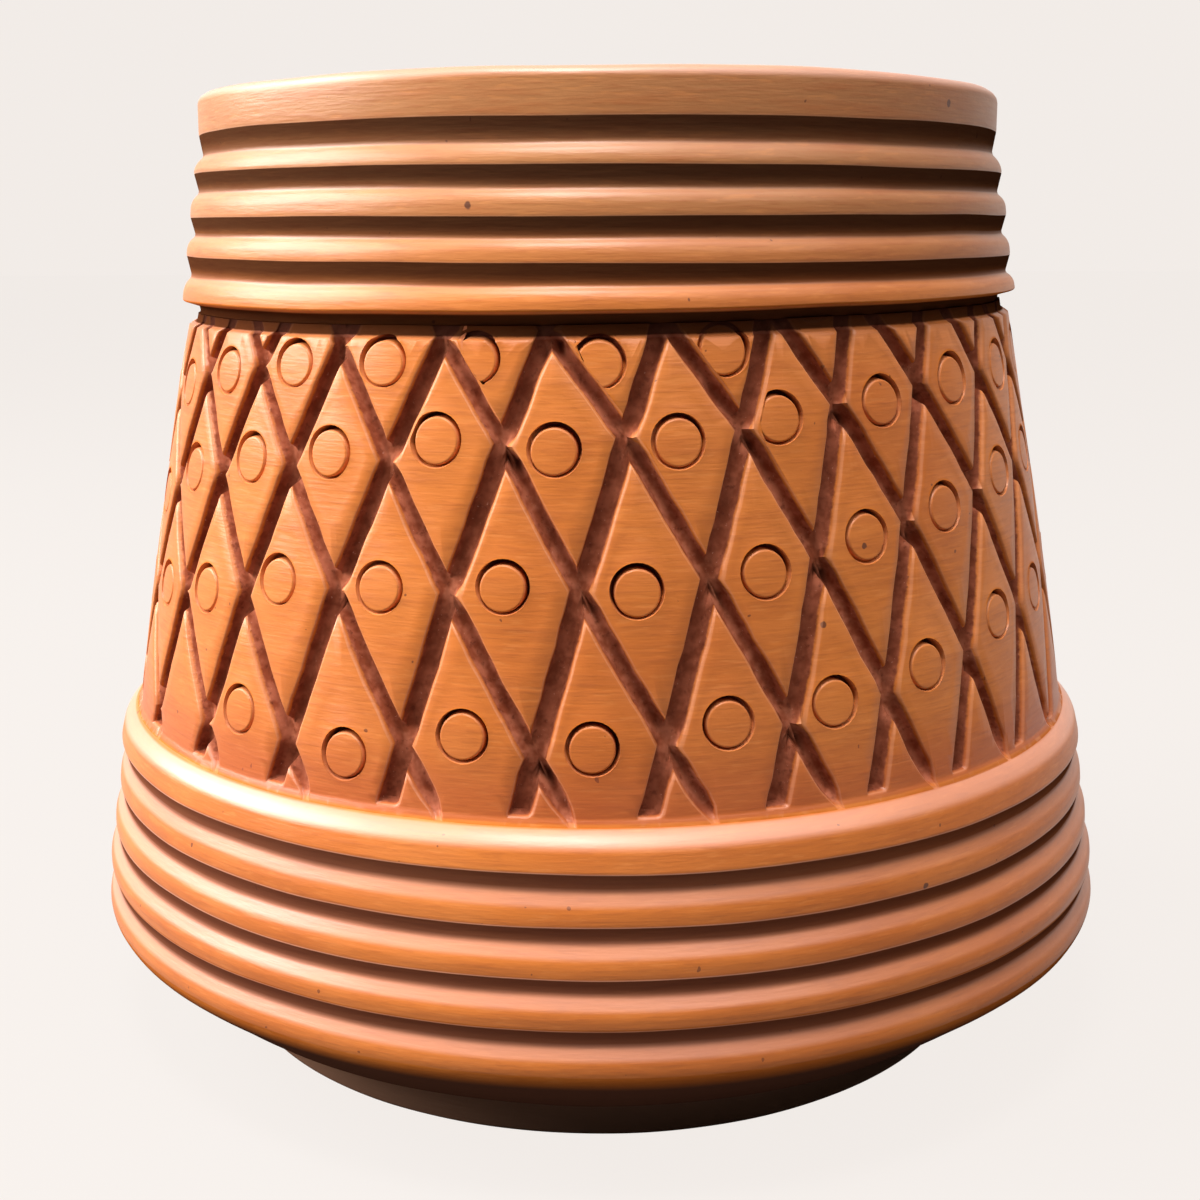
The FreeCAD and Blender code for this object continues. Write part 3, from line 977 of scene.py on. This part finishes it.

# %% [markdown]
# In the carved grooves the knife went through the slip to a red brown body that looks rougher. In
# the second family's grooves it is painted paler, as lit by light that rakes along them, and in the
# deepest pits it is painted very dark, as shade. Along the grooves' edges a paler band is a painted
# highlight, and so is the paler, pinker colour on the rings' slopes, the ledge and the rim's edge.
# The turned grooves hold painted shade, which is darkest on the collar. Under the belly the pot is
# painted dark, as shade, and is dull; the foot is grey brown, and the inside is left as bare clay.

# %% Colour the whole surface
def body_colour(on):
    """The bare body in the carved grooves."""
    body = on.lumps.between(0.35, 0.65).mix(colour(122, 62, 42), colour(146, 80, 57))
    # Painted light: the second family's grooves get a paler copy of the body, as lit by light that
    # rakes along them.
    painted_lit_body = on.lumps.between(0.35, 0.65).mix(colour(140, 72, 48), colour(174, 102, 75))
    body = on.second.mix(body, painted_lit_body)
    body = (on.grain.between(0.55, 0.75) * 0.6).mix(body, colour(92, 44, 32))
    body = (on.grit.between(0.68, 0.78) * 0.4).mix(body, colour(206, 154, 132))
    # Painted shade: the deepest pits are darkened.
    return (on.cut.between(1.05, 1.5) * 0.8).mix(body, colour(62, 28, 18))


def skin_colour(on, bare, painted_highlight):
    """Slip or body, and over them the painted highlights, the painted shade of the turned grooves and
    the underside, and the inside.
    """
    skin = bare.mix(slip_colour(on), body_colour(on))
    # Painted highlight: a paler band along the shallow edges of the carved grooves.
    edge = on.cut.between(0.005, 0.04) * (1 - on.cut.between(0.1, 0.25))
    skin = (edge * 0.2).mix(skin, colour(228, 164, 130))
    # Painted highlight: a paler, pinker colour on the slopes of the rings, along the ledge and round
    # the rim's edge.
    skin = (painted_highlight * 0.32).mix(skin, colour(232, 172, 152))
    # Painted shade in the turned grooves and in the neck under the collar, darkest on the collar.
    deep = on.up.between(0.08, 0.17).mix(colour(80, 38, 24), colour(42, 19, 12))
    skin = (on.turned.between(0.5, 0.88) * 0.88).mix(skin, deep)
    # Painted shade under the belly.
    skin = ((1 - on.up.between(0.0262, 0.0305)) * 0.94).mix(skin, colour(72, 46, 38))
    skin = ((1 - on.up.between(0.0145, 0.016)) * 0.9).mix(skin, colour(134, 98, 78))
    inner = on.patches.between(0.3, 0.7).mix(colour(172, 100, 66), colour(186, 114, 78))
    return on.inside.mix(skin, inner)


print("colours of the surface ready")

# %% [markdown]
# The material is a satin shader and a matt one, mixed. The satin one is the brushed slip, with a
# soft coat on the bands that carry the painted highlight: on the slopes of the rings, more so low
# down and at the left, along the ledge, and round the rim's edge. The matt one is everything that
# is bare, painted with shade or turned away: the carved and turned grooves, the foot, the inside
# and whatever faces down.

# %% Mix the terracotta
def terracotta():
    """Slip over fired clay: satin, with a coat on the bands of painted highlight, and matt where it
    is bare, painted with shade or turned away.
    """
    material = bpy.data.materials.new("terracotta_slip")
    material.use_nodes = True
    tree = material.node_tree
    on = clay_signals(tree)
    bare = (on.cut + (on.grain - 0.5) * 0.3).between(0.2, 0.42)
    # The ledge, the rim's edge and the slopes of the rings carry the painted highlight and the coat;
    # on the slopes both are weaker on the collar and towards the right.
    ledge = on.up.between(0.0738, 0.0755) * (1 - on.up.between(0.0775, 0.078))
    ledge = ledge.larger(on.up.between(0.2174, 0.219))
    slope = on.turned.between(0.05, 0.3) * (1 - on.up.between(0.08, 0.17) * 0.75)
    slope = slope * (1 - on.east.between(0, 0.09) * 0.6)
    skin = skin_colour(on, bare, slope.larger(ledge))

    sheen = 0.34 + on.fine_brush * 0.12
    brushed = on.fine_brush * 0.25 + on.ripples * 0.35 + on.brush * 0.3 + on.wide_brush * 0.3
    relief = brushed * (1 - bare) + on.grain * (0.1 + 0.4 * bare) + on.lumps * bare * 1.6
    bump = on.place.node("ShaderNodeBump", {"Height": relief, "Strength": 0.4, "Distance": 0.0005})
    dry = bare.larger(on.turned.between(0.6, 0.8)).larger(1 - on.up.between(0.0275, 0.033))
    dry = dry.larger(on.inside).larger(on.under)

    satin = tree.nodes["Principled BSDF"]
    satin.inputs["Specular IOR Level"].default_value = 0.34
    satin.inputs["Coat Roughness"].default_value = 0.42
    links = tree.links
    links.new((slope * 0.5 + ledge * 0.8).socket, satin.inputs["Coat Weight"])
    matt = tree.nodes.new("ShaderNodeBsdfPrincipled")
    matt.inputs["Roughness"].default_value = 0.9
    matt.inputs["Specular IOR Level"].default_value = 0
    blend = tree.nodes.new("ShaderNodeMixShader")
    for shader in (satin, matt):
        links.new(skin.socket, shader.inputs["Base Color"])
        links.new(bump.socket, shader.inputs["Normal"])
    links.new(sheen.socket, satin.inputs["Roughness"])
    links.new(dry.socket, blend.inputs[0])
    links.new(satin.outputs[0], blend.inputs[1])
    links.new(matt.outputs[0], blend.inputs[2])
    links.new(blend.outputs[0], tree.nodes["Material Output"].inputs[0])
    return material


clay = terracotta()
pieces = (foot, base, collar, wall)
for piece in pieces:
    piece.data.materials.append(clay)
print(f"{clay.name} on {len(pieces)} pieces")

# %% [markdown]
# The pot stands on a plain pale floor in front of nothing. To the camera the floor mostly glows in
# the background's colour, so only a faint shadow of the pot shows on it. To the pot it is a dark
# matt floor, so that little light comes back up from it and the undercuts stay deep.

# %% Floor and background
PALE = colour(242, 236, 231.5)
FLOOR_HALF = 6
FLOOR_TONE = 0.16
# How much of what the camera sees of the floor is its own glow, and how bright that is.
FLOOR_GLOW = 0.85
GLOW_STRENGTH = 1.163
SKY = (1, 0.97, 0.94, 1)
SKY_STRENGTH = 0.05


def camera_sees(tree):
    """A signal that is 1 for what the camera, a reflection or a clear material looks at."""
    rays = tree.nodes.new("ShaderNodeLightPath").outputs
    seen = Signal(tree, rays["Is Camera Ray"]) + Signal(tree, rays["Is Glossy Ray"])
    return seen.maths("ADD", seen, Signal(tree, rays["Is Transmission Ray"]), clamp=True)


floor_bm = bmesh.new()
bmesh.ops.create_grid(floor_bm, x_segments=1, y_segments=1, size=FLOOR_HALF)
floor_mesh = bpy.data.meshes.new("floor")
floor_bm.to_mesh(floor_mesh)
floor_bm.free()
floor = bpy.data.objects.new("floor", floor_mesh)
scene.collection.objects.link(floor)

ground = bpy.data.materials.new("pale_floor")
ground.use_nodes = True
tree = ground.node_tree
seen = camera_sees(tree)
matt = tree.nodes["Principled BSDF"]
matt.inputs["Base Color"].default_value = (FLOOR_TONE, FLOOR_TONE * 0.97, FLOOR_TONE * 0.94, 1)
matt.inputs["Roughness"].default_value = 1
matt.inputs["Specular IOR Level"].default_value = 0
glow = tree.nodes.new("ShaderNodeEmission")
glow.inputs["Color"].default_value = PALE
glow.inputs["Strength"].default_value = GLOW_STRENGTH
blend = tree.nodes.new("ShaderNodeMixShader")
tree.links.new((seen * FLOOR_GLOW).socket, blend.inputs[0])
tree.links.new(matt.outputs[0], blend.inputs[1])
tree.links.new(glow.outputs[0], blend.inputs[2])
tree.links.new(blend.outputs[0], tree.nodes["Material Output"].inputs[0])
floor_mesh.materials.append(ground)

world = bpy.data.worlds.new("studio")
scene.world = world
world.use_nodes = True
tree = world.node_tree
seen = camera_sees(tree)
soft = tree.nodes["Background"]
soft.inputs["Color"].default_value = SKY
soft.inputs["Strength"].default_value = SKY_STRENGTH
backdrop = tree.nodes.new("ShaderNodeBackground")
backdrop.inputs["Color"].default_value = PALE
blend = tree.nodes.new("ShaderNodeMixShader")
tree.links.new(seen.socket, blend.inputs[0])
tree.links.new(soft.outputs[0], blend.inputs[1])
tree.links.new(backdrop.outputs[0], blend.inputs[2])
tree.links.new(blend.outputs[0], tree.nodes["World Output"].inputs[0])
print(f"floor {2 * FLOOR_HALF} m wide, nearly the colour of the background")

# %% [markdown]
# The strongest lamp hangs high on the left, a small one almost overhead and a little to the front,
# and a large soft one high at the front right. All of them rake down across the rings and leave
# every undercut in shadow, which is what shows the turning off.

# %% Light the pot
POT_MIDDLE = Vector((0, 0, 0.11))


def lamp(name, place, width, height, power):
    """A soft lamp that looks at the pot's middle."""
    light = bpy.data.lights.new(name, "AREA")
    light.shape = "RECTANGLE"
    light.size = width
    light.size_y = height
    light.energy = power
    holder = bpy.data.objects.new(name, light)
    scene.collection.objects.link(holder)
    aim = (POT_MIDDLE - Vector(place)).to_track_quat("-Z", "Y")
    holder.matrix_world = Matrix.Translation(place) @ aim.to_matrix().to_4x4()


lamp("key", (-1.115, 0, 0.834), 1.2, 0.9, 46)
lamp("top", (-0.152, -0.418, 1.33), 0.4, 0.3, 15)
lamp("right", (0.452, -0.502, 1.279), 1.3, 1.3, 12)
scene.view_settings.view_transform = "Standard"
print("three soft lamps")
